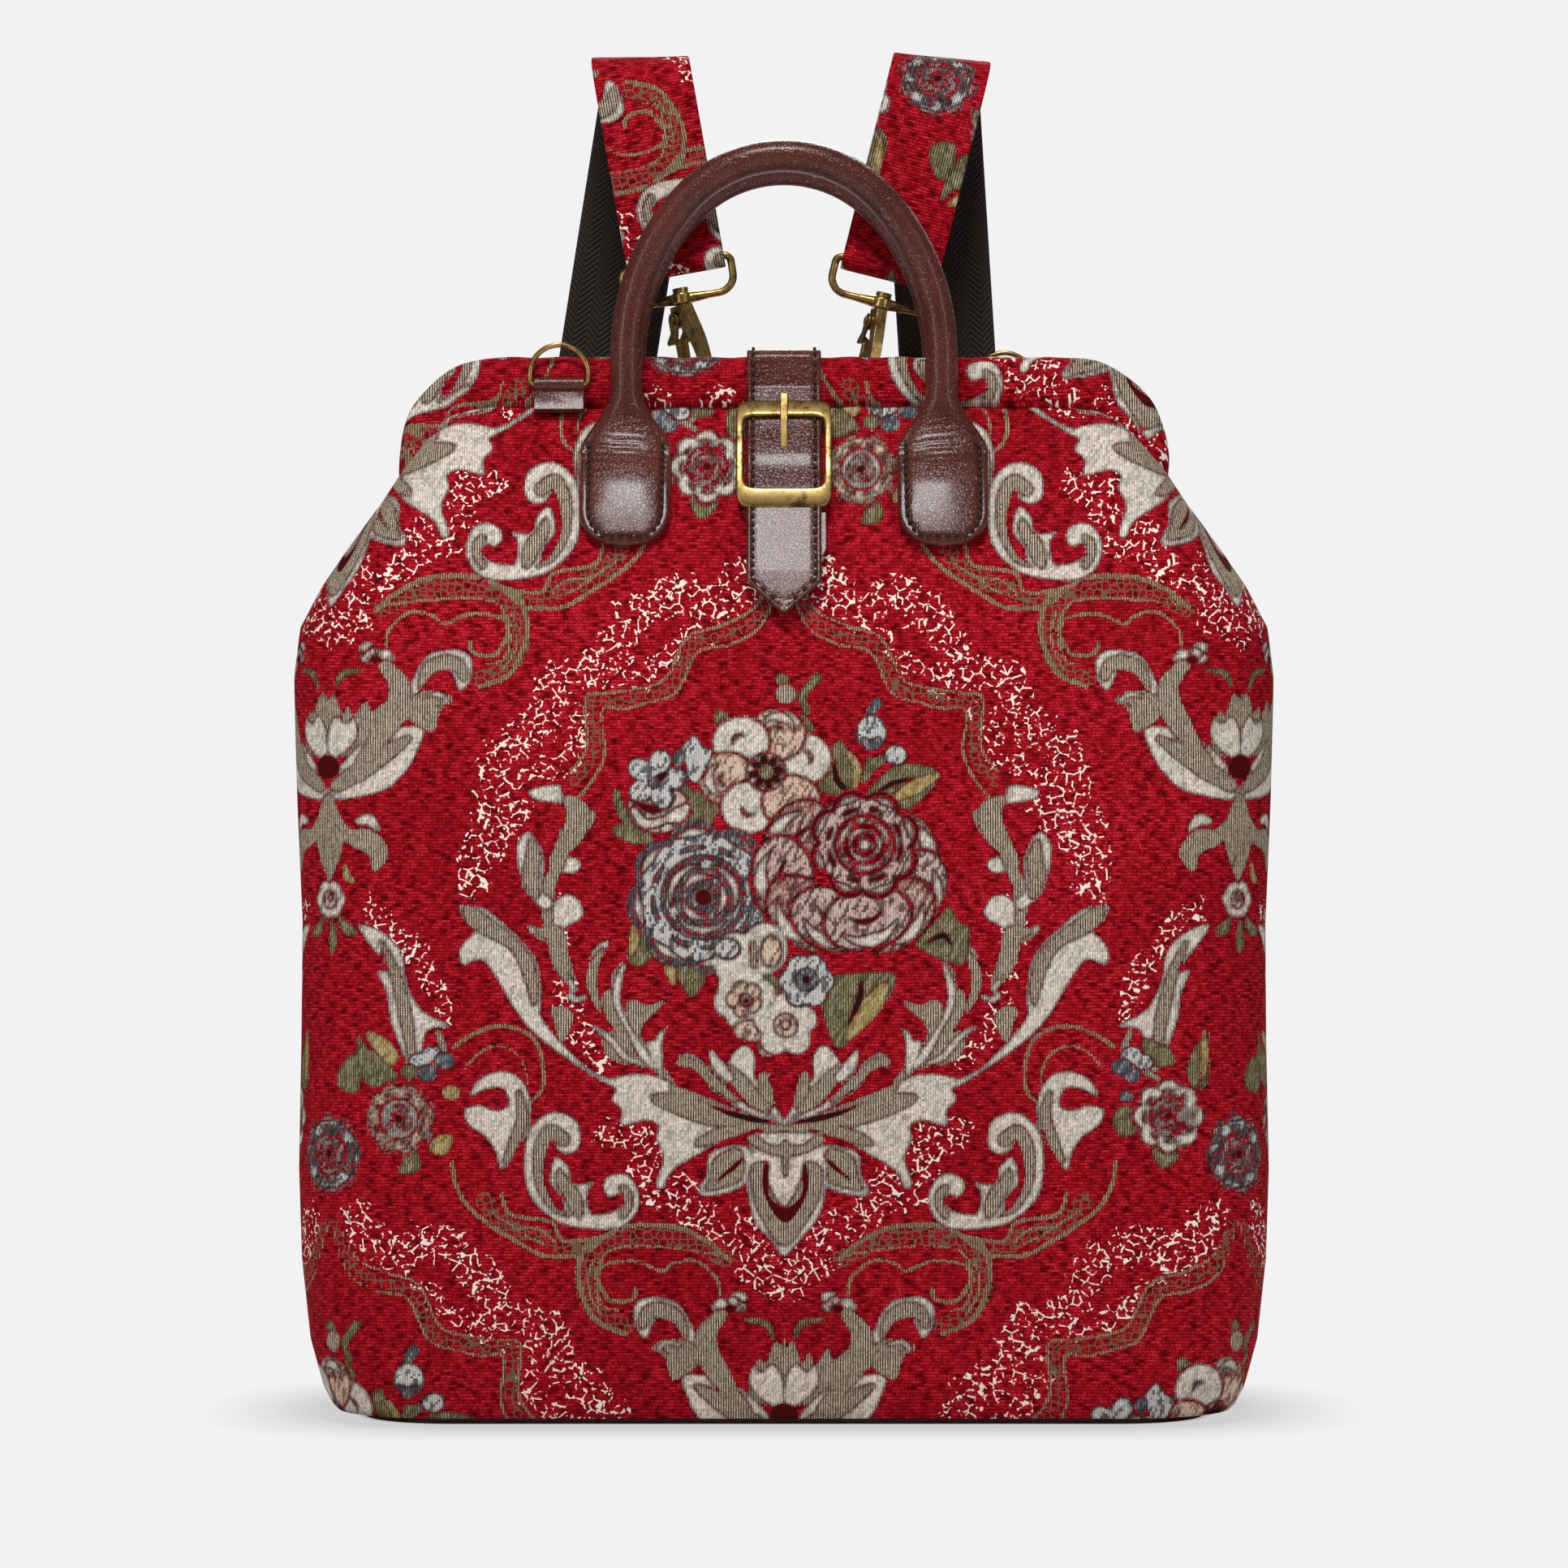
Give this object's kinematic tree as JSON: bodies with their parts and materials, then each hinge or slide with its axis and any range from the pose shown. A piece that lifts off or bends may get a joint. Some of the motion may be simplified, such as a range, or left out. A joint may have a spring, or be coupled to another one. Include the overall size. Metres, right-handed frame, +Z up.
{
  "type": "laptop backpack",
  "caption": "Tall cloth backpack with a hinged frame mouth, rolled handles, buckled closure strap, folded shoulder straps on trigger snaps and a padded laptop sleeve inside.",
  "frame": {"origin": "centre of the base, on the surface it stands on", "axes": "+Z up, -Y towards the front, +X to the viewer's right"},
  "size_m": [0.368, 0.1685, 0.5233],
  "materials": {
    "tapestry": "woven chenille tapestry, matt",
    "lining_cloth": "smooth lining cloth",
    "webbing": "coarse woven webbing",
    "board": "stiff board",
    "steel": "plain spring steel",
    "leather": "waxed, semi-gloss",
    "antique_brass": "antiqued, brushed"
  },
  "bodies": {
    "bag": {"front_panel": "tapestry", "back_panel": "tapestry", "base_panel": "leather", "base_board": "board", "lining": "lining_cloth", "laptop_sleeve": "lining_cloth", "rear_frame_bar": "steel", "hinge_rivet_left": "steel", "hinge_rivet_right": "steel", "rear_casing": "tapestry", "rear_handle": "leather", "closure_strap_anchor": "leather", "snap_socket": "antique_brass", "left_webbing": "webbing", "right_webbing": "webbing", "left_strap_facing": "tapestry", "right_strap_facing": "tapestry", "left_slider": "antique_brass", "right_slider": "antique_brass", "rear_right_d_ring_tab": "leather", "upper_left_d_ring_tab": "leather", "upper_right_d_ring_tab": "leather", "lower_left_d_ring_tab": "leather", "lower_right_d_ring_tab": "leather", "upper_left_snap_ring": "antique_brass", "upper_right_snap_ring": "antique_brass", "lower_left_snap_ring": "antique_brass", "lower_right_snap_ring": "antique_brass"},
    "closure_flap": {"closure_strap": "leather", "under_strap": "leather", "buckle_frame": "antique_brass", "snap_stud": "antique_brass"},
    "front_half": {"front_frame_bar": "steel", "front_casing": "tapestry", "front_handle": "leather", "front_left_d_ring_tab": "leather"},
    "prong": {"buckle_prong": "antique_brass"},
    "front_left_ring": {"front_left_d_ring": "antique_brass"},
    "rear_right_ring": {"rear_right_d_ring": "antique_brass"},
    "upper_left_ring": {"upper_left_d_ring": "antique_brass"},
    "upper_left_hook": {"upper_left_snap_hook": "antique_brass", "upper_left_snap_pin": "antique_brass"},
    "upper_left_lever": {"upper_left_snap_lever": "antique_brass"},
    "upper_right_ring": {"upper_right_d_ring": "antique_brass"},
    "upper_right_hook": {"upper_right_snap_hook": "antique_brass", "upper_right_snap_pin": "antique_brass"},
    "upper_right_lever": {"upper_right_snap_lever": "antique_brass"},
    "lower_left_ring": {"lower_left_d_ring": "antique_brass"},
    "lower_left_hook": {"lower_left_snap_hook": "antique_brass", "lower_left_snap_pin": "antique_brass"},
    "lower_left_lever": {"lower_left_snap_lever": "antique_brass"},
    "lower_right_ring": {"lower_right_d_ring": "antique_brass"},
    "lower_right_hook": {"lower_right_snap_hook": "antique_brass", "lower_right_snap_pin": "antique_brass"},
    "lower_right_lever": {"lower_right_snap_lever": "antique_brass"}
  },
  "joints": [
    {"name": "mouth", "type": "hinge", "parent": "bag", "child": "front_half", "pos_m": [0, 0, 0.343], "axis": [1, 0, 0], "range_deg": [0, 15.3], "deforming": ["front_panel", "lining"]},
    {"name": "closure", "type": "hinge", "parent": "bag", "child": "closure_flap", "pos_m": [0, 0.0173, 0.4028], "axis": [-1, 0, 0], "range_deg": [0, 68]},
    {"name": "prong_pivot", "type": "hinge", "parent": "closure_flap", "child": "prong", "pos_m": [0, -0.0343, 0.3603], "axis": [1, 0, 0], "range_deg": [0, 20]},
    {"name": "front_left_ring_turn", "type": "hinge", "parent": "front_half", "child": "front_left_ring", "pos_m": [-0.085, -0.02, 0.389], "axis": [1, 0, 0], "range_deg": [0, 100]},
    {"name": "rear_right_ring_turn", "type": "hinge", "parent": "bag", "child": "rear_right_ring", "pos_m": [0.085, 0.02, 0.389], "axis": [-1, 0, 0], "range_deg": [0, 100]},
    {"name": "upper_left_ring_turn", "type": "hinge", "parent": "bag", "child": "upper_left_ring", "pos_m": [-0.0328, 0.02559, 0.37604], "axis": [1, 0, 0], "range_deg": [-2, 2]},
    {"name": "upper_left_swivel", "type": "hinge", "parent": "bag", "child": "upper_left_hook", "pos_m": [-0.03924, 0.03543, 0.4239], "axis": [-0.1736, 0, 0.9848], "range_deg": [-6, 6]},
    {"name": "upper_left_gate", "type": "hinge", "parent": "upper_left_hook", "child": "upper_left_lever", "pos_m": [-0.04052, 0.03896, 0.41809], "axis": [-0.8296, -0.5388, -0.1463], "range_deg": [0, 25], "stiffness_Nm_per_rad": 0.1, "springref_deg": -8.59},
    {"name": "upper_right_ring_turn", "type": "hinge", "parent": "bag", "child": "upper_right_ring", "pos_m": [0.0284, 0.02559, 0.37604], "axis": [1, 0, 0], "range_deg": [-2, 2]},
    {"name": "upper_right_swivel", "type": "hinge", "parent": "bag", "child": "upper_right_hook", "pos_m": [0.03737, 0.03656, 0.42227], "axis": [0.2419, 0, 0.9703], "range_deg": [-6, 6]},
    {"name": "upper_right_gate", "type": "hinge", "parent": "upper_right_hook", "child": "upper_right_lever", "pos_m": [0.03502, 0.04062, 0.41719], "axis": [-0.9391, -0.2516, 0.2341], "range_deg": [0, 25], "stiffness_Nm_per_rad": 0.1, "springref_deg": -8.59},
    {"name": "lower_left_ring_turn", "type": "hinge", "parent": "bag", "child": "lower_left_ring", "pos_m": [-0.104, 0.0755, 0.05], "axis": [1, 0, 0], "range_deg": [-2, 2]},
    {"name": "lower_left_swivel", "type": "hinge", "parent": "bag", "child": "lower_left_hook", "pos_m": [-0.1003, 0.08611, 0.09752], "axis": [0.0997, 0, 0.995], "range_deg": [-6, 6]},
    {"name": "lower_left_gate", "type": "hinge", "parent": "lower_left_hook", "child": "lower_left_lever", "pos_m": [-0.09817, 0.08288, 0.09178], "axis": [0.7638, 0.6409, -0.0765], "range_deg": [0, 25], "stiffness_Nm_per_rad": 0.1, "springref_deg": -8.59},
    {"name": "lower_right_ring_turn", "type": "hinge", "parent": "bag", "child": "lower_right_ring", "pos_m": [0.104, 0.0755, 0.05], "axis": [1, 0, 0], "range_deg": [-2, 2]},
    {"name": "lower_right_swivel", "type": "hinge", "parent": "bag", "child": "lower_right_hook", "pos_m": [0.09971, 0.08611, 0.09746], "axis": [-0.1156, 0, 0.9933], "range_deg": [-6, 6]},
    {"name": "lower_right_gate", "type": "hinge", "parent": "lower_right_hook", "child": "lower_right_lever", "pos_m": [0.09768, 0.08288, 0.09168], "axis": [0.763, -0.6402, 0.0888], "range_deg": [0, 25], "stiffness_Nm_per_rad": 0.1, "springref_deg": -8.59}
  ],
  "couplings": [
    {"joint": "mouth", "follows": "closure", "ratio": 0.225}
  ]
}
